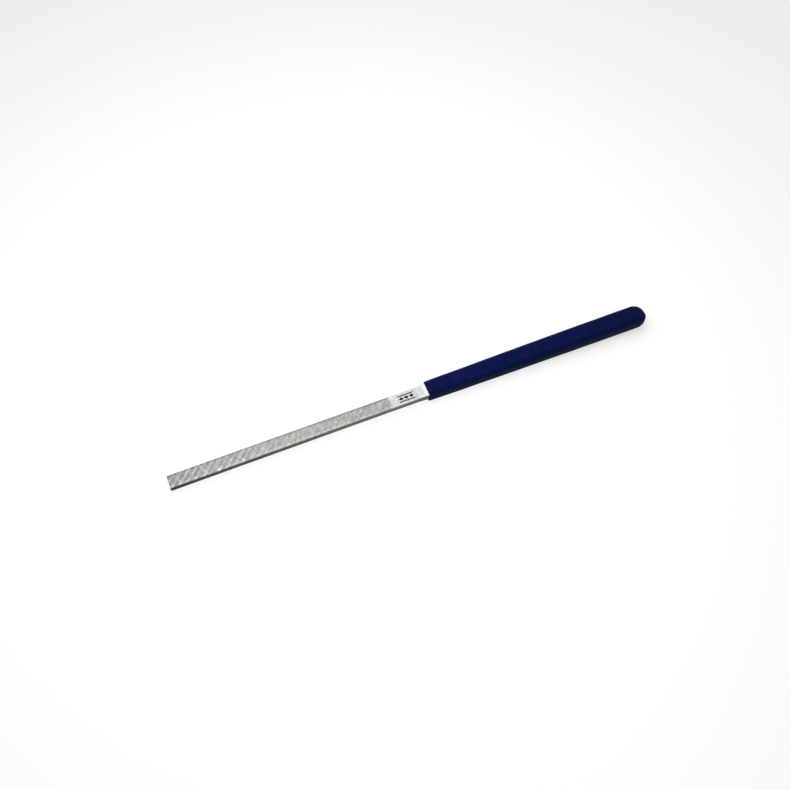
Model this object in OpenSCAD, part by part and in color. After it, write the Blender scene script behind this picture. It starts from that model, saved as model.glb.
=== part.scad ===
// Flat hand file: one steel bar, toothed at the front, with a soft vinyl grip
// dipped over its tang. +X points to the tip, +Z out of the upper cut face, and
// the origin is on the bar's centre line, half way along the file.

/* [Blade] */
// Overall length, from the tip to the rear end of the grip
overall_length = 215; // [180:1:250]
// Length of the toothed part of the blade
cut_length = 95; // [60:1:110]
// Length of the smooth heel, from the teeth to the grip
heel_length = 15.7; // [10:0.1:25]
// Width of the blade
blade_width = 5.8; // [4:0.1:6.8]
// Thickness of the blade over the tooth tips
blade_thickness = 2.6; // [1.6:0.1:3.2]
// How far each ground face of the heel lies below the tooth tips
heel_relief = 0.05; // [0.02:0.01:0.15]
// Size of the small bevel round the tip
tip_bevel = 0.25; // [0.1:0.05:0.6]

/* [Teeth] */
// Distance from one groove to the next, along the blade
tooth_pitch = 0.8; // [0.6:0.1:1.6]
// Depth of the grooves
tooth_depth = 0.16; // [0.1:0.02:0.24]
// Angle between the grooves and the blade's length
groove_angle = 45; // [40:1:60]

/* [Tang] */
// Length over which the heel swells towards the tang, just ahead of the grip
swell_length = 4; // [2:0.5:8]
// Width of the tang where it enters the grip
tang_front_width = 6.1; // [5.8:0.1:6.2]
// Thickness of the tang where it enters the grip
tang_front_thickness = 3.0; // [2.6:0.1:3]
// Width of the tang at its rear end
tang_rear_width = 7.0; // [6.4:0.1:7.4]
// Thickness of the tang at its rear end
tang_rear_thickness = 4.0; // [3.4:0.1:4.4]

/* [Grip] */
// Width of the grip behind its front lip
grip_front_width = 8.1; // [8:0.1:9]
// Thickness of the grip behind its front lip
grip_front_thickness = 5.2; // [5:0.1:6]
// Width of the grip at its rear end
grip_rear_width = 9.5; // [9:0.1:11]
// Thickness of the grip at its rear end
grip_rear_thickness = 6.5; // [6.2:0.1:8]
// Share of the grip's thickness that its rounded corners take up
corner_share = 0.7; // [0.5:0.05:0.7]
// Radius of the rolled front lip
lip_radius = 0.5; // [0.3:0.1:0.5]
// Length of the rounded rear end
dome_length = 4.8; // [3.5:0.1:6]
// Vinyl between the tang and the rear end of the grip
rear_wall = 2.6; // [2:0.1:4]

/* [Hidden] */

tip_x = overall_length / 2;
heel_x = tip_x - cut_length;           // where the teeth end
grip_x = heel_x - heel_length;         // front of the grip
grip_rear_x = -overall_length / 2;
tang_rear_x = grip_rear_x + rear_wall;
swell_x = grip_x + swell_length;       // where the heel starts to swell
heel_thickness = blade_thickness - 2 * heel_relief;

groove_step = tooth_pitch * sin(groove_angle);   // square to the grooves
groove_start = (heel_x - blade_width) * sin(groove_angle);
groove_count = ceil((cut_length + 2 * blade_width) / tooth_pitch);
tooth_rise = 0.70;                     // share of a step taken by a tooth's back
tooth_land = 0.15;                     // share taken by its flat top

grip_length = grip_x - grip_rear_x;
body_length = grip_length - lip_radius - dome_length;
swell_power = 2.2;                     // above 1, the grip widens mostly near its front
thickness_power = 1.1;                 // above 1, it thickens mostly near its rear
tang_corner = 1.2;                     // bevel at the tang's rear corners

lip_steps = 4;
body_steps = 12;
dome_steps = 9;
corner_steps = 7;                      // points on each rounded corner
dome_stop = 0.88;                      // the curve stops here, at a small flat end
dome_power = 2.3;                      // above 2, it is fuller than an ellipse from the side

// Outline of a rectangle with round corners, in the YZ plane, at station x
function round_section(x, w, t, r) = [
    for (corner = [0:3], i = [0:corner_steps])
        let (a = 90 * (corner + i / corner_steps),
             sy = (corner == 0 || corner == 3) ? 1 : -1,
             sz = corner < 2 ? 1 : -1)
        [x, sy * (w / 2 - r) + r * cos(a), sz * (t / 2 - r) + r * sin(a)]
];

// Width and thickness of the grip at share s of its length, from its front. The
// thickness grows a little late, so the grip rests on both ends of its underside.
function grip_w(s) = grip_front_width
    + (grip_rear_width - grip_front_width) * (1 - pow(1 - s, swell_power));
function grip_t(s) = grip_front_thickness
    + (grip_rear_thickness - grip_front_thickness) * pow(s, thickness_power);

// One section of the grip: its full size less an inset d on every side
function grip_section(x, d) =
    let (s = (grip_x - x) / grip_length,
         w = grip_w(s) - 2 * d,
         t = grip_t(s) - 2 * d)
    round_section(x, w, t, corner_share * t / 2);

// The rear end closes as half an ellipse in plan and a fuller curve from the side
function dome_section(u) =
    let (x = grip_rear_x + dome_length * (1 - u / dome_stop),
         s = (grip_x - x) / grip_length,
         w = grip_w(s) * sqrt(1 - u * u),
         t = grip_t(s) * pow(1 - pow(u, dome_power), 1 / dome_power))
    round_section(x, w, t, corner_share * min(w, t) / 2);

grip_sections = concat(
    [for (i = [0:lip_steps - 1])
        let (a = 90 * i / lip_steps)
        grip_section(grip_x - lip_radius * (1 - cos(a)), lip_radius * (1 - sin(a)))],
    [for (i = [0:body_steps - 1])
        grip_section(grip_x - lip_radius - body_length * i / body_steps, 0)],
    [for (i = [0:dome_steps])
        dome_section(dome_stop * sin(90 * i / dome_steps))]
);

// A closed solid through sections that have the same number of points
module loft(sections) {
    rows = len(sections);
    n = len(sections[0]);
    points = [for (s = sections) each s];
    sides = [for (k = [0:rows - 2], i = [0:n - 1])
        let (j = (i + 1) % n)
        each [[k * n + i, k * n + j, (k + 1) * n + j],
              [k * n + i, (k + 1) * n + j, (k + 1) * n + i]]];
    front = [for (i = [n - 1:-1:0]) i];
    rear = [for (i = [0:n - 1]) (rows - 1) * n + i];
    polyhedron(points, concat([front], sides, [rear]));
}

// A solid whose outline is plan from above and side from the front
module plan_and_side(plan, side, depth) {
    intersection() {
        translate([0, 0, -depth / 2])
            linear_extrude(depth)
                polygon(plan);
        rotate([90, 0, 0])
            translate([0, 0, -depth / 2])
                linear_extrude(depth)
                    polygon(side);
    }
}

// Half outline given as [x, half size] points, closed by its mirror image
function mirrored(half) = concat(half, [for (i = [len(half) - 1:-1:0]) [half[i][0], -half[i][1]]]);

module blade_blank() {
    w = blade_width / 2;
    t = blade_thickness / 2;
    plan = mirrored([[heel_x, w], [tip_x - tip_bevel, w], [tip_x, w - tip_bevel]]);
    side = mirrored([[heel_x, t], [tip_x - tip_bevel, t], [tip_x, t - tip_bevel]]);
    plan_and_side(plan, side, 4 * blade_width);
}

// All that lies under the upper toothed face. Each tooth is steep on the side
// that faces the tip, and slopes down behind.
module under_teeth() {
    top = blade_thickness / 2;
    end = groove_start + groove_count * groove_step;
    teeth = [for (k = [0:groove_count - 1])
        let (u = groove_start + k * groove_step)
        each [[u, top - tooth_depth],
              [u + tooth_rise * groove_step, top],
              [u + (tooth_rise + tooth_land) * groove_step, top]]];
    base = [[end, top - tooth_depth], [end, -2 * blade_thickness],
            [groove_start, -2 * blade_thickness]];
    rotate([0, 0, groove_angle - 90])
        rotate([90, 0, 0])
            translate([0, 0, -overall_length])
                linear_extrude(2 * overall_length)
                    polygon(concat(teeth, base));
}

module toothed_blade() {
    intersection() {
        blade_blank();
        under_teeth();
        rotate([180, 0, 0])
            under_teeth();
    }
}

module heel_and_tang() {
    plan = mirrored([
        [tang_rear_x, tang_rear_width / 2 - tang_corner],
        [tang_rear_x + tang_corner, tang_rear_width / 2],
        [grip_x, tang_front_width / 2],
        [swell_x, blade_width / 2],
        [heel_x, blade_width / 2]
    ]);
    side = mirrored([
        [tang_rear_x, tang_rear_thickness / 2 - tang_corner],
        [tang_rear_x + tang_corner, tang_rear_thickness / 2],
        [grip_x, tang_front_thickness / 2],
        [swell_x, heel_thickness / 2],
        [heel_x, heel_thickness / 2]
    ]);
    plan_and_side(plan, side, 4 * tang_rear_width);
}

module file_blade_and_tang() {
    color([0.74, 0.75, 0.73]) {
        union() {
            toothed_blade();
            heel_and_tang();
        }
    }
}

module grip_sleeve() {
    color([0.06, 0.11, 0.31]) {
        difference() {
            loft(grip_sections);
            heel_and_tang();
        }
    }
}

file_blade_and_tang();
grip_sleeve();
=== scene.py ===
import math
import random

import bmesh
import bpy
import numpy as np
from mathutils import Matrix, Vector, noise


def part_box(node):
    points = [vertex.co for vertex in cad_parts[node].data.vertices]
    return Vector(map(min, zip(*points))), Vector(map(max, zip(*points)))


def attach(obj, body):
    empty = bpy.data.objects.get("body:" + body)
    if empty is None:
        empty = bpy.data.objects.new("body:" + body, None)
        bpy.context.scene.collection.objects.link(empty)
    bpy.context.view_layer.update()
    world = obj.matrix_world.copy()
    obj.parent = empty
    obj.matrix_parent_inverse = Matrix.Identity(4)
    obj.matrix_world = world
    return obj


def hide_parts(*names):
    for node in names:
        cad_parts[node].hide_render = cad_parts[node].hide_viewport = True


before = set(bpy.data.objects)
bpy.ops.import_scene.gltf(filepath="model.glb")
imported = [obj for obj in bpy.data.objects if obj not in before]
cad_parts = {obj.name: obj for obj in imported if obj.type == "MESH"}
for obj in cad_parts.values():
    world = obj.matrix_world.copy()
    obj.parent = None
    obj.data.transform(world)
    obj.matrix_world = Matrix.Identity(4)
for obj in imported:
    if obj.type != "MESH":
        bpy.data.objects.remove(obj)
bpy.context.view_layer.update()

# A flat hand file, lying on a pale floor. +X points to the tip and +Z out of the
# upper toothed face. Lengths are in metres.

# ---- Sizes that the frame holds ----
steel_low, steel_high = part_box("file_blade_and_tang")
grip_low, grip_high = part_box("grip_sleeve")
TIP_X = steel_high[0]
TANG_REAR_X = steel_low[0]
GRIP_X = grip_high[0]
GRIP_REAR_X = grip_low[0]
GRIP_REAR_WIDTH = grip_high[1] - grip_low[1]
GRIP_REAR_THICKNESS = grip_high[2] - grip_low[2]
TANG_REAR_WIDTH = steel_high[1] - steel_low[1]
TANG_REAR_THICKNESS = steel_high[2] - steel_low[2]

# ---- Blade ----
BLADE_WIDTH = 0.0058
BLADE_THICKNESS = 0.0026
CUT_LENGTH = 0.095
HEEL_RELIEF = 0.00005        # the heel's faces lie this far below the tooth tips
TIP_BEVEL = 0.00025
SWELL_LENGTH = 0.0040        # the heel swells over this length, ahead of the grip
TANG_FRONT_WIDTH = 0.0061
TANG_FRONT_THICKNESS = 0.0030
TANG_CORNER = 0.0012
EDGE_ROUND = 0.00012         # softened long edges of the bar
HEEL_X = TIP_X - CUT_LENGTH
HEEL_SLANT = 0.28            # the teeth end on a slanted line: X lost per unit of Y
RUN_OUT = 0.0016             # the grooves grow shallow over this length

# ---- Teeth: two crossing cuts on the faces, one cut on the narrow edges ----
FIRST_CUT = {"angle": 45, "pitch": 0.0008, "depth": 0.00016}
SECOND_CUT = {"angle": -72, "pitch": 0.00056, "depth": 0.00010}
EDGE_CUT = {"angle": 62, "pitch": 0.0006, "depth": 0.00006}
NO_CUT = {"angle": -90, "pitch": 0.003, "depth": 0.0}   # stands in for a second edge cut
TOOTH_PROFILE = ((0.0, 1.0), (0.36, 0.48), (0.72, 0.0), (0.86, 0.0))  # (place, depth)
DEEP_EVERY = 4               # one groove in four is struck deeper
DEEPER = 1.3
UNEVEN = 0.12                # the shallowest and deepest groove differ by this share
UNEVEN_COUNT = 1024          # so many grooves before the unevenness repeats
CROSS_EVERY = 9              # one painted highlight line for so many grooves of the second cut
LINE_SHARPNESS = 8           # higher makes the painted highlight lines narrower
EDGE_MARGIN = 0.00004        # the toothed faces stop this far inside the edges
EDGE_BAND = BLADE_THICKNESS - 0.00044   # width of the teeth on each narrow edge
FACE_SHEET_DEPTH = 0.0005    # how far each sheet of teeth reaches down into the bar
EDGE_SHEET_DEPTH = 0.0003
CORE_GAP = 0.0001            # the bar under the teeth is narrower than they are
HEEL_STEP = 0.00002          # the heel starts this far ahead of the teeth's slanted end

# ---- Mark: two bars and three lozenges, on the heel ----
MARK_PLACE = 0.41            # its centre, as a share of the way from teeth to grip
MARK_LENGTH, MARK_HEIGHT = 0.0071, 0.0033
MARK_BAR = 0.00050
MARK_DEPTH = 0.00003         # the mark's plates are this thick
MARK_RISE = 0.000008         # and stand this far out of the heel
LOZENGE_LENGTH, LOZENGE_HEIGHT = 0.00212, 0.00172
LOZENGE_STEP = 0.32          # from one lozenge to the next, as a share of the length

# ---- Grip ----
GRIP_FRONT_WIDTH = 0.0081
GRIP_FRONT_THICKNESS = 0.0052
CORNER_SHARE = 0.7
SWELL_POWER = 2.2
THICKNESS_POWER = 1.1
LIP_RADIUS = 0.0005
LIP_SLANT = 0.045            # the dipped edge is not quite square to the file
LIP_SAG = 0.20               # and runs further forward below
LIP_REACH = 0.012
DOME_LENGTH = 0.0048
DOME_STOP = 0.88             # the dome's curve stops here, at a flat end
DOME_POWER = 2.3             # above 2, it is fuller than an ellipse from the side
LIP_STEPS, BODY_STEPS, DOME_STEPS, CORNER_STEPS = 8, 240, 32, 12
CAVITY_RINGS = 3
CAVITY_SETBACK = 0.0002      # the cavity's front ring lies this far behind the front
WAVE_HEIGHT, PEBBLE_HEIGHT = 0.00006, 0.000012
WAVE_SCALE = (0.12, 0.25, 0.25)    # per millimetre, along the file and across it
PEBBLE_SCALE = 1.7                 # per millimetre

# ---- Colours, and where along Y the toothed faces change tone ----
BLACK, WHITE = (0, 0, 0), (1, 1, 1)
TOOTH_STEEL = (0.985, 1.0, 0.96)
# painted shade on the narrow edges, which face away from the light
EDGE_SHADE_DARK, EDGE_SHADE_PALE = (0.052, 0.067, 0.051), (0.103, 0.126, 0.099)
GROUND_DARK, GROUND_PALE = (0.375, 0.39, 0.375), (0.585, 0.60, 0.58)
# a painted highlight on the heel, next to the grip's lip
LIP_HIGHLIGHT = (0.61, 0.635, 0.68)
ETCH_DARK, ETCH_PALE = (0.012, 0.014, 0.013), (0.04, 0.044, 0.04)
VINYL_TEAL, VINYL_NAVY = (0.0003, 0.0075, 0.050), (0.0016, 0.0080, 0.076)
VINYL_PURPLE = (0.0075, 0.0070, 0.080)
# the grip's painted shade towards its rear, and the painted reflection on its sides
VINYL_REAR_SHADE, VINYL_SIDE_REFLECTION = (0.0016, 0.0045, 0.034), (0.0105, 0.0210, 0.056)
# where the toothed faces take painted shade on the far rim and a painted highlight on the near
# rim, along Y
FAR_RIM_SHADE, NEAR_RIM_HIGHLIGHT = (-0.0025, -0.0017), (0.0016, 0.0022)
RIM_SHADE_BAND = (0.00262, 0.00286)      # painted shade along both edges, and wider towards the heel
RIM_SHADE_AT_HEEL, RIM_SHADE_AT_TIP = 0.00018, 0.00003

# ---- Camera: distance, direction, and how far it aims beside the part's centre ----
CAMERA_DISTANCE = 0.3752
CAMERA_ELEVATION = math.radians(58)
CAMERA_TURN = math.radians(22.8)   # towards the tip, from square to the file's side
CAMERA_AIM = (-0.01028, -0.00048)  # to the right, and up
LENS, SENSOR = 41.0, 36.0
CLIP = (0.01, 20)

# ---- Light: the sky's strength behind the file, on the camera's side, and below ----
SKY_BEHIND, SKY_NEAR, BELOW_FLOOR = 1.0, 0.42, 0.02
SKY_COLOUR = (0.985, 0.995, 1.0, 1)
HORIZON = (-0.06, 0.03)      # the sky fades in between these heights of its unit ball
KEY_PLACE, KEY_SIZE, KEY_POWER = (0.10, -0.14, 0.28), 0.42, 0.55
FAR_TONE = 0.80              # the floor's and the backdrop's tone, away from the file
NEAR_FLOOR, FAR_FLOOR = 0.11, 0.40   # distances over which the floor turns to that tone
FLOOR_HALF_SIZE = 3.0
BACKDROP_RADIUS, BACKDROP_HEIGHT = 2.9, 4.0


# ======================= small helpers =======================

def mesh_object(name, mesh, *materials):
    piece = bpy.data.objects.new(name, mesh)
    bpy.context.collection.objects.link(piece)
    for material in materials:
        mesh.materials.append(material)
    return piece


def blend(a, b, t):
    return a + (b - a) * t


def smooth(t):
    t = np.clip(t, 0.0, 1.0)
    return t * t * (3 - 2 * t)


def round_section(x, width, thickness, radius, steps):
    """Points of a rectangle with round corners, across the file at x."""
    points = []
    for corner, (side_y, side_z) in enumerate(((1, 1), (-1, 1), (-1, -1), (1, -1))):
        for i in range(steps + 1):
            angle = math.radians(90 * (corner + i / steps))
            points.append((
                x,
                side_y * (width / 2 - radius) + radius * math.cos(angle),
                side_z * (thickness / 2 - radius) + radius * math.sin(angle),
            ))
    return points


def loft(bm, rings):
    """Joins rings of equal length with quads, and closes both ends."""
    rows = [[bm.verts.new(p) for p in ring] for ring in rings]
    count = len(rows[0])
    for first, second in zip(rows, rows[1:]):
        for i in range(count):
            j = (i + 1) % count
            bm.faces.new((first[i], second[i], second[j], first[j]))
    bm.faces.new(rows[0])
    bm.faces.new(rows[-1][::-1])
    return rows


# ======================= the steel =======================

def heel_line(y):
    """Where the teeth end, at y."""
    return HEEL_X - HEEL_SLANT * y


def cut_profile(phase, cut, seed):
    """Depth of one cut at each phase, where a whole number is the bottom of a groove."""
    groove = np.floor(phase + 1e-6).astype(int)
    place = np.clip(phase - groove, 0, 1)
    places, depths = zip(*TOOTH_PROFILE, (1.0, 1.0))
    depth = np.interp(place, places, depths)
    chance = random.Random(seed)
    uneven = np.array([1 + UNEVEN * (chance.random() - 0.5) for _ in range(UNEVEN_COUNT)])
    nearest = np.round(phase).astype(int)
    shaded_to_rear = np.where(nearest % DEEP_EVERY == 0, DEEPER, 1.0)
    return cut["depth"] * depth * uneven[nearest % UNEVEN_COUNT] * shaded_to_rear


def cut_sheet(half_width, first, second):
    """A sheet of teeth over the cut length and y within half_width, heights below 0.

    Its vertices lie on the grooves of both cuts, so the teeth come out sharp."""
    a, b = math.radians(first["angle"]), math.radians(second["angle"])
    step_a = first["pitch"] * math.sin(a)
    step_b = second["pitch"] * math.sin(-b)
    places = np.array([place for place, _ in TOOTH_PROFILE])
    reach = half_width / math.tan(a) + half_width + 0.002   # with 2 mm to spare

    def phases(step, angle):
        low = math.floor((HEEL_X - reach) * abs(math.sin(angle)) / step)
        high = math.ceil((HEEL_X + CUT_LENGTH + reach) * abs(math.sin(angle)) / step)
        return (np.arange(low, high)[:, None] + places).ravel()

    phase_a, phase_b = np.meshgrid(phases(step_a, a), phases(step_b, b), indexing="ij")
    u, v = phase_a * step_a, phase_b * step_b
    turn = math.sin(a - b)
    x = (u * math.cos(b) + v * math.cos(a)) / turn
    y = (u * math.sin(b) + v * math.sin(a)) / turn
    deep = np.maximum(cut_profile(phase_a, first, seed=3), cut_profile(phase_b, second, seed=5))
    fade = smooth((x - heel_line(y)) / RUN_OUT)
    z = -(deep * fade + HEEL_RELIEF * (1 - fade))
    return x, y, z, deep / first["depth"], phase_a, phase_b


def add_layers(bm):
    return [bm.verts.layers.float.new(name) for name in ("groove", "highlight_streak", "highlight_cross")]


def line_strength(turns):
    """1 on a painted highlight line, half way through a turn, and 0 for most of the rest."""
    return (0.5 - 0.5 * math.cos(2 * math.pi * turns)) ** LINE_SHARPNESS


def sheet_to_bmesh(sheet, end, half_width):
    """The part of a sheet that the bar needs, with a little to trim off all round."""
    x, y, z, groove, phase_a, phase_b = sheet
    bm = bmesh.new()
    groove_layer, highlight_streak_layer, highlight_cross_layer = add_layers(bm)
    near = (x > HEEL_X - 0.002) & (x < end + 0.001) & (abs(y) < half_width + 0.0006)
    corners = near[:-1, :-1] & near[1:, :-1] & near[:-1, 1:] & near[1:, 1:]
    made = {}

    def vertex(i, j):
        if (i, j) not in made:
            new = bm.verts.new((x[i, j], y[i, j], z[i, j]))
            new[groove_layer] = groove[i, j]
            # painted highlight lines along both cuts, stored on each vertex
            new[highlight_streak_layer] = line_strength(phase_a[i, j] / DEEP_EVERY)
            new[highlight_cross_layer] = line_strength(phase_b[i, j] / CROSS_EVERY)
            made[i, j] = new
        return made[i, j]

    for i, j in np.argwhere(corners):
        bm.faces.new((vertex(i, j), vertex(i + 1, j), vertex(i + 1, j + 1), vertex(i, j + 1)))
    return bm


def trim(bm, point, outward):
    """Cuts away all that lies beyond a plane."""
    geometry = bm.verts[:] + bm.edges[:] + bm.faces[:]
    bmesh.ops.bisect_plane(bm, geom=geometry, plane_co=point, plane_no=outward,
                           clear_outer=True)


def skirt(bm, depth):
    """Turns a sheet's open edges down into the bar, and closes it below."""
    rim = [e for e in bm.edges if e.is_boundary]
    made = bmesh.ops.extrude_edge_only(bm, edges=rim)["geom"]
    for v in made:
        if isinstance(v, bmesh.types.BMVert):
            v.co.z = -depth
    bmesh.ops.contextual_create(bm, geom=[e for e in bm.edges if e.is_boundary])


def toothed_sheet(half_width, first, second, depth):
    end = TIP_X - TIP_BEVEL / 2
    bm = sheet_to_bmesh(cut_sheet(half_width, first, second), end, half_width)
    trim(bm, (end, 0, 0), (1, 0, 0))
    trim(bm, (0, half_width, 0), (0, 1, 0))
    trim(bm, (0, -half_width, 0), (0, -1, 0))
    trim(bm, (HEEL_X, 0, 0), (-1, -HEEL_SLANT, 0))
    skirt(bm, depth)
    bmesh.ops.recalc_face_normals(bm, faces=bm.faces)
    return bm


def add_sheet(steel, sheet, place, material):
    """Copies a sheet of teeth on to the bar."""
    mesh = bpy.data.meshes.new("sheet")
    sheet.to_mesh(mesh)
    mesh.transform(place)
    mesh.polygons.foreach_set("material_index", [material] * len(mesh.polygons))
    steel.from_mesh(mesh)
    bpy.data.meshes.remove(mesh)


CUT, EDGE, GROUND, MARK = range(4)   # the steel's material slots


def bar_rings():
    """The bar under the teeth, the heel, the swell and the tang."""
    deepest = FIRST_CUT["depth"] * DEEPER * 1.1   # a tenth to spare, for uneven grooves
    core_width = BLADE_WIDTH - 2 * EDGE_MARGIN - CORE_GAP
    core_thickness = BLADE_THICKNESS - 2 * deepest
    heel_thickness = BLADE_THICKNESS - 2 * HEEL_RELIEF
    heel_front = HEEL_X + HEEL_SLANT * BLADE_WIDTH / 2 + HEEL_STEP
    sizes = [
        (TIP_X, BLADE_WIDTH - 2 * TIP_BEVEL, BLADE_THICKNESS - 2 * TIP_BEVEL),
        (TIP_X - TIP_BEVEL, core_width, core_thickness),
        (heel_front + HEEL_STEP / 2, core_width, core_thickness),
        (heel_front, BLADE_WIDTH, heel_thickness),
        (GRIP_X + SWELL_LENGTH, BLADE_WIDTH, heel_thickness),
        (GRIP_X, TANG_FRONT_WIDTH, TANG_FRONT_THICKNESS),
        (TANG_REAR_X + TANG_CORNER, TANG_REAR_WIDTH, TANG_REAR_THICKNESS),
        (TANG_REAR_X, TANG_REAR_WIDTH - 2 * TANG_CORNER,
         TANG_REAR_THICKNESS - 2 * TANG_CORNER),
    ]
    return [round_section(x, w, t, EDGE_ROUND, 3) for x, w, t in sizes]


def add_bar(steel):
    loft(steel, bar_rings())
    bmesh.ops.recalc_face_normals(steel, faces=steel.faces)
    for face in steel.faces:
        face.material_index = GROUND if abs(face.normal.z) > 0.4 else EDGE


def add_plate(steel, outline, top):
    """A thin plate of the mark, let into the heel."""
    rows = loft(steel, [[(x, y, z) for x, y in outline] for z in (top, top - MARK_DEPTH)])
    faces = list({face for row in rows for v in row for face in v.link_faces})
    bmesh.ops.recalc_face_normals(steel, faces=faces)
    for face in faces:
        face.material_index = MARK


def add_mark(steel):
    """A plain etched ornament on the heel: three lozenges between two bars."""
    centre = blend(HEEL_X, GRIP_X, MARK_PLACE)
    top = BLADE_THICKNESS / 2 - HEEL_RELIEF + MARK_RISE
    corners = ((-1, -1), (1, -1), (1, 1), (-1, 1))
    points = ((-1, 0), (0, -1), (1, 0), (0, 1))
    for side in (-1, 1):
        y = side * (MARK_HEIGHT - MARK_BAR) / 2
        add_plate(steel, [(centre + i * MARK_LENGTH / 2, y + j * MARK_BAR / 2)
                          for i, j in corners], top)
    for k in (-1, 0, 1):
        x = centre + k * MARK_LENGTH * LOZENGE_STEP
        add_plate(steel, [(x + i * LOZENGE_LENGTH / 2, j * LOZENGE_HEIGHT / 2)
                          for i, j in points], top)


def build_steel(materials):
    steel = bmesh.new()
    add_layers(steel)
    add_bar(steel)
    face_half = BLADE_WIDTH / 2 - EDGE_MARGIN
    face_teeth = toothed_sheet(face_half, FIRST_CUT, SECOND_CUT, FACE_SHEET_DEPTH)
    edge_teeth = toothed_sheet(EDGE_BAND / 2, EDGE_CUT, NO_CUT, EDGE_SHEET_DEPTH)
    up = Matrix.Translation((0, 0, BLADE_THICKNESS / 2))
    out = Matrix.Translation((0, 0, BLADE_WIDTH / 2))
    for turn in (0, 180):
        add_sheet(steel, face_teeth, Matrix.Rotation(math.radians(turn), 4, "X") @ up, CUT)
        quarter = Matrix.Rotation(math.radians(turn + 90), 4, "X")
        add_sheet(steel, edge_teeth, quarter @ out, EDGE)
    add_mark(steel)
    mesh = bpy.data.meshes.new("file_steel")
    steel.to_mesh(mesh)
    return mesh_object("file_steel", mesh, *materials)


# ======================= the grip =======================

def grip_width(share):
    return blend(GRIP_FRONT_WIDTH, GRIP_REAR_WIDTH, 1 - (1 - share) ** SWELL_POWER)


def grip_thickness(share):
    return blend(GRIP_FRONT_THICKNESS, GRIP_REAR_THICKNESS, share ** THICKNESS_POWER)


def grip_share(x):
    """How far along the grip x lies, from its front."""
    return (GRIP_X - x) / (GRIP_X - GRIP_REAR_X)


def grip_rings():
    """The cavity that the tang fills, then the lip, the body and the dome outside."""
    rings = []

    def outer(x, inset):
        share = grip_share(x)
        width = grip_width(share) - 2 * inset
        thickness = grip_thickness(share) - 2 * inset
        radius = CORNER_SHARE * thickness / 2
        rings.append(round_section(x, width, thickness, radius, CORNER_STEPS))

    for width, thickness, x in (
        (TANG_REAR_WIDTH - 2 * TANG_CORNER, TANG_REAR_THICKNESS - 2 * TANG_CORNER, TANG_REAR_X),
        (TANG_REAR_WIDTH, TANG_REAR_THICKNESS, TANG_REAR_X + TANG_CORNER),
        (TANG_FRONT_WIDTH, TANG_FRONT_THICKNESS, GRIP_X - CAVITY_SETBACK),
    ):
        rings.append(round_section(x, width, thickness, EDGE_ROUND, CORNER_STEPS))
    for i in range(LIP_STEPS + 1):
        angle = math.radians(90 * i / LIP_STEPS)
        outer(GRIP_X - LIP_RADIUS * (1 - math.cos(angle)), LIP_RADIUS * (1 - math.sin(angle)))
    body = GRIP_X - GRIP_REAR_X - LIP_RADIUS - DOME_LENGTH
    for i in range(1, BODY_STEPS):
        outer(GRIP_X - LIP_RADIUS - body * i / BODY_STEPS, 0)
    for i in range(DOME_STEPS + 1):
        u = math.sin(math.radians(90 * i / DOME_STEPS)) * DOME_STOP
        x = GRIP_REAR_X + DOME_LENGTH * (1 - u / DOME_STOP)
        share = grip_share(x)
        width = grip_width(share) * math.sqrt(1 - u * u)
        thickness = grip_thickness(share) * (1 - u ** DOME_POWER) ** (1 / DOME_POWER)
        radius = CORNER_SHARE * min(width, thickness) / 2
        rings.append(round_section(x, width, thickness, radius, CORNER_STEPS))
    return rings


def roughen(mesh):
    """Dipped vinyl is never quite even: broad waves and a fine pebbled skin."""
    for v in mesh.vertices:
        near_lip = smooth(1 - (GRIP_X - v.co.x) / LIP_REACH)
        v.co.x += (LIP_SLANT * v.co.y + LIP_SAG * max(0, -v.co.z)) * near_lip
    inner = CAVITY_RINGS * 4 * (CORNER_STEPS + 1)   # the cavity's points stay smooth
    for v in list(mesh.vertices)[inner:]:
        p = v.co * 1000
        wave = noise.noise(Vector([place * scale for place, scale in zip(p, WAVE_SCALE)]))
        pebble = noise.noise(p * PEBBLE_SCALE)
        v.co += v.normal * (wave * WAVE_HEIGHT + pebble * PEBBLE_HEIGHT)


def build_grip(material):
    bm = bmesh.new()
    loft(bm, grip_rings())
    bmesh.ops.recalc_face_normals(bm, faces=bm.faces)
    mesh = bpy.data.meshes.new("vinyl_grip")
    bm.to_mesh(mesh)
    roughen(mesh)
    for face in mesh.polygons:
        face.use_smooth = True
    return mesh_object("vinyl_grip", mesh, material)


# ======================= materials =======================

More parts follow.
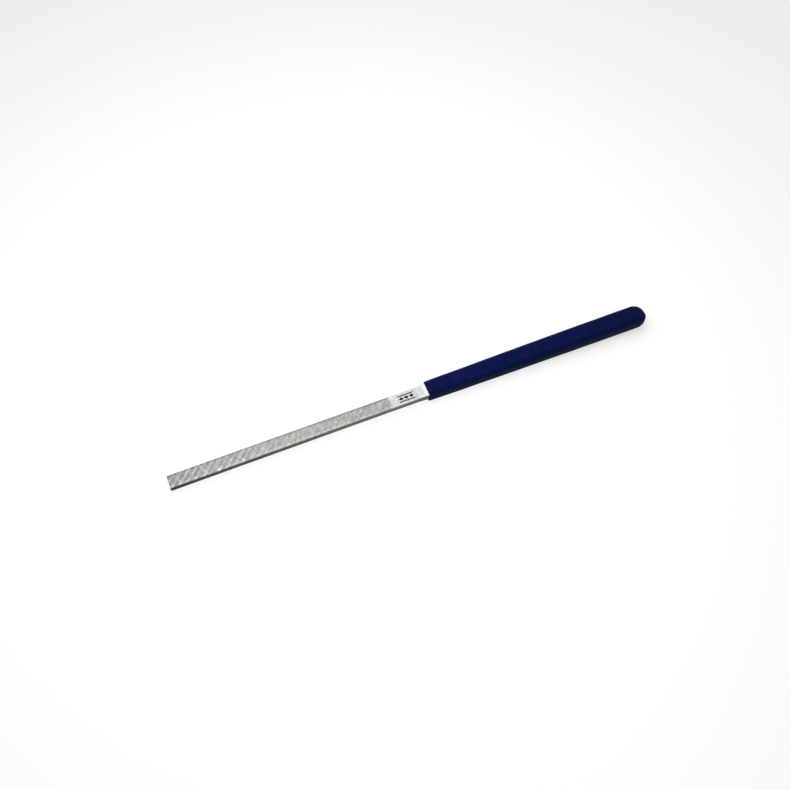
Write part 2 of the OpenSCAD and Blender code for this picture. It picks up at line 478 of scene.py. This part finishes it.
class Nodes:
    """A material's node tree, with short calls to add and link nodes."""

    def __init__(self, name):
        self.material = bpy.data.materials.new(name)
        self.material.use_nodes = True
        self.tree = self.material.node_tree
        self.shader = self.tree.nodes["Principled BSDF"]
        self.place = self.add("ShaderNodeTexCoord").outputs["Object"]

    def add(self, kind, **settings):
        node = self.tree.nodes.new(kind)
        for key, value in settings.items():
            if key in node.inputs:
                node.inputs[key].default_value = value
            else:
                setattr(node, key, value)
        return node

    def link(self, source, target):
        self.tree.links.new(source, target)

    def scaled(self, x, y, z):
        """Object coordinates, stretched."""
        node = self.add("ShaderNodeMapping")
        node.inputs["Scale"].default_value = (x, y, z)
        self.link(self.place, node.inputs["Vector"])
        return node.outputs["Vector"]

    def along(self, degrees, stretch):
        """Object coordinates, drawn out along one direction in the file's plane."""
        node = self.add("ShaderNodeMapping", vector_type="TEXTURE")
        node.inputs["Rotation"].default_value = (0, 0, math.radians(degrees))
        node.inputs["Scale"].default_value = (stretch, 1, 1)
        self.link(self.place, node.inputs["Vector"])
        return node.outputs["Vector"]

    def noise(self, vector, scale, detail, roughness=0.55):
        node = self.add("ShaderNodeTexNoise", Scale=scale, Detail=detail, Roughness=roughness)
        self.link(vector, node.inputs["Vector"])
        return node.outputs["Fac"]

    def attribute(self, name):
        return self.add("ShaderNodeAttribute", attribute_name=name).outputs["Fac"]

    def ramp(self, value, *stops):
        """A colour ramp; each stop is (place, colour)."""
        node = self.add("ShaderNodeValToRGB")
        while len(node.color_ramp.elements) < len(stops):
            node.color_ramp.elements.new(0.5)
        for element, (place, colour) in zip(node.color_ramp.elements, stops):
            element.position = place
            element.color = (*colour, 1)
        self.link(value, node.inputs["Fac"])
        return node.outputs["Color"]

    def mix(self, share, first, second, kind="MIX"):
        """Each of the three is a number, a colour or another node's output."""
        node = self.add("ShaderNodeMix", data_type="RGBA", blend_type=kind)
        for value, socket in ((share, 0), (first, 6), (second, 7)):
            if isinstance(value, (int, float)):
                node.inputs[socket].default_value = value
            elif isinstance(value, tuple):
                node.inputs[socket].default_value = (*value, 1)
            else:
                self.link(value, node.inputs[socket])
        return node.outputs[2]

    def math(self, kind, first, second=0.0):
        node = self.add("ShaderNodeMath", operation=kind)
        for value, socket in zip((first, second), node.inputs):
            if isinstance(value, (int, float)):
                socket.default_value = value
            else:
                self.link(value, socket)
        return node.outputs[0]

    def times(self, first, second):
        return self.math("MULTIPLY", first, second)

    def span(self, value, low, high, to_low=0.0, to_high=1.0):
        """Maps low to high on to to_low to to_high, and stays within them."""
        node = self.add("ShaderNodeMapRange")
        for key, number in zip(("From Min", "From Max", "To Min", "To Max"),
                               (low, high, to_low, to_high)):
            node.inputs[key].default_value = number
        self.link(value, node.inputs["Value"])
        return node.outputs["Result"]

    def axis(self, name):
        node = self.add("ShaderNodeSeparateXYZ")
        self.link(self.place, node.inputs[0])
        return node.outputs[name]

    def bump(self, height, distance, strength):
        node = self.add("ShaderNodeBump", Strength=strength, Distance=distance)
        self.link(height, node.inputs["Height"])
        self.link(node.outputs["Normal"], self.shader.inputs["Normal"])

    def use(self, **inputs):
        for key, value in inputs.items():
            socket = self.shader.inputs[key.replace("_", " ")]
            if isinstance(value, (int, float)):
                socket.default_value = value
            elif isinstance(value, tuple):
                socket.default_value = (*value, 1)
            else:
                self.link(value, socket)


def cut_steel():
    """Hardened teeth: painted highlight lines along the cuts near the tip, painted shade in the
    grooves and along the rims, and a fine grain all over.
    """
    n = Nodes("toothed_steel")
    x, y = n.axis("X"), n.axis("Y")
    grain = n.noise(n.place, 1700.0, 3.0, 0.6)
    dashes = [n.noise(n.along(cut["angle"], 4.0), 1500.0, 2.0)
              for cut in (FIRST_CUT, SECOND_CUT)]

    # The tone falls towards the tip, painted shade that offsets the brighter light there; the
    # grain and dashes along both cuts vary it.
    tone = n.span(x, blend(HEEL_X, TIP_X, 0.4), TIP_X, 0.76, 0.47)
    for texture, reach in ((grain, 0.20), (dashes[0], 0.20), (dashes[1], 0.15)):
        tone = n.times(tone, n.span(texture, 0.3, 0.7, 1 - reach, 1 + reach))

    # Painted highlight lines, towards the tip alone and broken up at random in places.
    highlight_lines = n.math("MAXIMUM", n.attribute("highlight_streak"), n.times(n.attribute("highlight_cross"), 0.6))
    highlight_lines = n.times(highlight_lines, n.span(x, blend(HEEL_X, TIP_X, 0.42), blend(HEEL_X, TIP_X, 0.8)))
    highlight_lines = n.times(highlight_lines, n.span(n.noise(n.place, 330.0, 2.0), 0.35, 0.6, 0.5, 1.0))
    tone = n.times(tone, n.span(highlight_lines, 0.0, 1.0, 0.93, 1.6))

    # Painted shade along the far rim, a painted highlight along the near one, and a line of
    # painted shade along both edges.
    tone = n.times(tone, n.span(y, *FAR_RIM_SHADE, 0.80, 1.0))
    tone = n.times(tone, n.span(y, *NEAR_RIM_HIGHLIGHT, 1.0, 1.3))
    widened = n.span(x, HEEL_X, TIP_X, RIM_SHADE_AT_HEEL, RIM_SHADE_AT_TIP)
    from_middle = n.math("ADD", n.math("ABSOLUTE", y), widened)
    tone = n.times(tone, n.span(from_middle, *RIM_SHADE_BAND, 1.0, 0.42))

    # Painted shade in the grooves, the deepest darkest, and a darker run-out at the heel.
    tone = n.times(tone, n.span(n.attribute("groove"), 0.15, 1.1, 1.0, 0.52))
    past_heel = n.math("ADD", x, n.times(y, HEEL_SLANT))
    tone = n.times(tone, n.span(past_heel, HEEL_X, HEEL_X + RUN_OUT, 0.6, 1.0))
    n.use(Base_Color=n.mix(tone, BLACK, TOOTH_STEEL), Metallic=1.0,
          Roughness=n.span(grain, 0.3, 0.7, 0.36, 0.5))
    n.bump(n.noise(n.place, 9000.0, 2.0), 0.000004, 0.5)
    return n.material


def edge_steel():
    """The narrow edges get a dark grey-green base, painted shade since they face away from the
    light, with a random mottle in it.
    """
    n = Nodes("edge_steel")
    edge_mottle = n.noise(n.scaled(0.5, 1, 1), 900.0, 4.0)
    colour = n.ramp(edge_mottle, (0.3, EDGE_SHADE_DARK), (0.7, EDGE_SHADE_PALE))
    x = n.axis("X")
    # More painted shade: darker towards the tip, and towards the grip.
    along_cut = n.span(x, TIP_X, HEEL_X, 0.45, 2.45)
    along_heel = n.span(x, HEEL_X, GRIP_X, 1.0, 0.62)
    tone = n.times(along_cut, along_heel)
    n.use(Base_Color=n.mix(1.0, colour, tone, "MULTIPLY"), Metallic=0.6,
          Roughness=n.span(edge_mottle, 0.3, 0.7, 0.5, 0.66), Specular_IOR_Level=0.3)
    n.bump(n.noise(n.scaled(0.15, 1, 1), 6000.0, 2.0), 0.000006, 0.5)
    return n.material


def ground_steel():
    """The heel is ground bright along its length."""
    n = Nodes("ground_steel")
    scratches = n.noise(n.scaled(0.03, 1, 1), 9000.0, 4.0, 0.7)
    clouds = n.noise(n.place, 800.0, 3.0)
    tone = n.mix(0.6, scratches, clouds)
    colour = n.ramp(tone, (0.34, GROUND_DARK), (0.66, GROUND_PALE))
    # A painted pale bluish highlight on the heel, just ahead of the grip's lip.
    lip_highlight_mask = n.span(n.axis("X"), GRIP_X + 0.0015, GRIP_X + 0.0010)
    colour = n.mix(lip_highlight_mask, colour, LIP_HIGHLIGHT)
    n.use(Base_Color=colour, Metallic=1.0, Roughness=n.span(scratches, 0.3, 0.7, 0.26, 0.42))
    n.bump(scratches, 0.000003, 0.6)
    return n.material


def etched_mark():
    n = Nodes("etched_mark")
    grain = n.noise(n.place, 5000.0, 3.0)
    colour = n.ramp(grain, (0.3, ETCH_DARK), (0.7, ETCH_PALE))
    n.use(Base_Color=colour, Metallic=0.0, Roughness=0.8, Specular_IOR_Level=0.1)
    n.bump(grain, 0.000004, 0.6)
    return n.material


def vinyl():
    """Navy dipped vinyl: satin, pebbled, with slight cloudy changes of colour, painted shade
    towards the rear and a painted reflection on the sides.
    """
    n = Nodes("navy_vinyl")
    clouds = n.noise(n.scaled(0.6, 1, 1), 260.0, 4.0, 0.6)
    colour = n.ramp(clouds, (0.34, VINYL_TEAL), (0.5, VINYL_NAVY), (0.66, VINYL_PURPLE))
    pebbles = n.noise(n.place, 2600.0, 3.0, 0.6)
    speckle = n.span(n.noise(n.place, 900.0, 3.0), 0.3, 0.7, 0.62, 1.38)
    colour = n.mix(1.0, colour, speckle, "MULTIPLY")
    # Painted shade: the grip darkens towards its rear end.
    toward_rear = n.span(n.axis("X"), GRIP_X, GRIP_REAR_X, 0.0, 0.62)
    shaded_to_rear = n.mix(toward_rear, colour, VINYL_REAR_SHADE)
    # Painted reflection: the steep sides turn greyer, standing in for the bright floor they
    # reflect.
    upright = n.add("ShaderNodeSeparateXYZ")
    n.link(n.add("ShaderNodeTexCoord").outputs["Normal"], upright.inputs[0])
    side_reflection_mask = n.span(n.math("ABSOLUTE", upright.outputs["Z"]), 0.25, 0.85, 1.0, 0.0)
    n.use(Base_Color=n.mix(side_reflection_mask, shaded_to_rear, VINYL_SIDE_REFLECTION),
          Roughness=n.span(pebbles, 0.3, 0.7, 0.5, 0.66), Specular_IOR_Level=0.035)
    n.bump(pebbles, 0.00004, 0.6)
    return n.material


def floor_paper():
    """Pale paper. Its own glow keeps shadows faint, less so beside the grip's rear."""
    n = Nodes("pale_floor")
    at_rear = n.span(n.axis("X"), 0.0, GRIP_REAR_X)
    away = n.add("ShaderNodeVectorMath", operation="LENGTH")
    n.link(n.place, away.inputs[0])
    near = n.span(away.outputs["Value"], NEAR_FLOOR, FAR_FLOOR, 1.0, 0.0)
    far_glow = n.span(near, 0.0, 1.0, FAR_TONE, 0.0)
    near_glow = n.times(near, n.span(at_rear, 0.0, 1.0, 0.81, 0.50))
    glow = n.math("ADD", near_glow, far_glow)
    paper = n.times(near, n.span(at_rear, 0.0, 1.0, 0.26, 0.58))
    n.use(Base_Color=n.mix(paper, BLACK, WHITE), Roughness=0.9,
          Specular_IOR_Level=0.0, Emission_Color=WHITE, Emission_Strength=glow)
    return n.material


def backdrop_glow():
    n = Nodes("pale_backdrop")
    n.use(Base_Color=BLACK, Specular_IOR_Level=0.0, Emission_Color=WHITE,
          Emission_Strength=FAR_TONE)
    return n.material


# ======================= scene =======================

def underside(node, low_x, high_x):
    """The lowest point of a CAD node between two places along the file."""
    points = [v.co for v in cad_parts[node].data.vertices if low_x <= v.co.x <= high_x]
    return min(points, key=lambda p: p.z)


def build_floor():
    """The grip lies on the floor along its underside, and the tip clears it a little."""
    front = underside("grip_sleeve", GRIP_X - 0.003, GRIP_X)
    rear = underside("grip_sleeve", GRIP_REAR_X, GRIP_X - 0.08)
    slope = math.atan2(front.z - rear.z, front.x - rear.x)
    bm = bmesh.new()
    bmesh.ops.create_grid(bm, x_segments=1, y_segments=1, size=FLOOR_HALF_SIZE)
    mesh = bpy.data.meshes.new("floor")
    bm.to_mesh(mesh)
    floor = mesh_object("floor", mesh, floor_paper())
    floor.rotation_euler = (0, -slope, 0)
    floor.location = (0, 0, rear.z - rear.x * math.tan(slope))
    floor.visible_diffuse = False


def build_backdrop():
    """A round wall far behind, for low views. It doesn't light the file."""
    bm = bmesh.new()
    bmesh.ops.create_cone(bm, cap_ends=False, segments=96, radius1=BACKDROP_RADIUS,
                          radius2=BACKDROP_RADIUS, depth=BACKDROP_HEIGHT)
    mesh = bpy.data.meshes.new("backdrop")
    bm.to_mesh(mesh)
    backdrop = mesh_object("backdrop", mesh, backdrop_glow())
    backdrop.visible_diffuse = False
    backdrop.visible_glossy = False
    backdrop.visible_shadow = False


def build_camera():
    side = math.sin(CAMERA_TURN), math.cos(CAMERA_TURN)
    back = Vector((side[0] * math.cos(CAMERA_ELEVATION), side[1] * math.cos(CAMERA_ELEVATION),
                   math.sin(CAMERA_ELEVATION)))
    look = (-back).to_track_quat("-Z", "Y")
    right, up = look @ Vector((1, 0, 0)), look @ Vector((0, 1, 0))
    data = bpy.data.cameras.new("camera")
    data.lens, data.sensor_width = LENS, SENSOR
    data.clip_start, data.clip_end = CLIP
    camera = bpy.data.objects.new("camera", data)
    camera.rotation_mode = "QUATERNION"
    camera.rotation_quaternion = look
    camera.location = right * CAMERA_AIM[0] + up * CAMERA_AIM[1] + back * CAMERA_DISTANCE
    bpy.context.collection.objects.link(camera)
    bpy.context.scene.camera = camera


def add_softbox(name, location, size, power):
    """A square lamp that faces the middle of the file."""
    data = bpy.data.lights.new(name, "AREA")
    data.shape, data.size = "SQUARE", size
    data.energy = power
    lamp = bpy.data.objects.new(name, data)
    lamp.location = location
    lamp.rotation_mode = "QUATERNION"
    lamp.rotation_quaternion = (-Vector(location)).to_track_quat("-Z", "Y")
    bpy.context.collection.objects.link(lamp)


def build_light():
    world = bpy.data.worlds.new("studio")
    world.use_nodes = True
    tree = world.node_tree
    place = tree.nodes.new("ShaderNodeTexCoord")
    split = tree.nodes.new("ShaderNodeSeparateXYZ")
    tree.links.new(place.outputs["Generated"], split.inputs[0])

    def span(value, low, high, to_low, to_high):
        node = tree.nodes.new("ShaderNodeMapRange")
        numbers = (low, high, to_low, to_high)
        for key, number in zip(("From Min", "From Max", "To Min", "To Max"), numbers):
            node.inputs[key].default_value = number
        tree.links.new(value, node.inputs["Value"])
        return node.outputs["Result"]

    above = span(split.outputs["Z"], *HORIZON, BELOW_FLOOR, 1.0)
    behind = span(split.outputs["Y"], -1.0, 1.0, SKY_BEHIND, SKY_NEAR)
    strength = tree.nodes.new("ShaderNodeMath")
    strength.operation = "MULTIPLY"
    tree.links.new(above, strength.inputs[0])
    tree.links.new(behind, strength.inputs[1])
    background = tree.nodes["Background"]
    background.inputs["Color"].default_value = SKY_COLOUR
    tree.links.new(strength.outputs[0], background.inputs["Strength"])
    bpy.context.scene.world = world
    add_softbox("key_softbox", KEY_PLACE, KEY_SIZE, KEY_POWER)
    bpy.context.scene.view_settings.view_transform = "Standard"


build_camera()
build_light()
build_floor()
build_backdrop()

steel = build_steel((cut_steel(), edge_steel(), ground_steel(), etched_mark()))
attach(steel, "root")
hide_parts("file_blade_and_tang")

grip = build_grip(vinyl())
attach(grip, "root")
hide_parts("grip_sleeve")
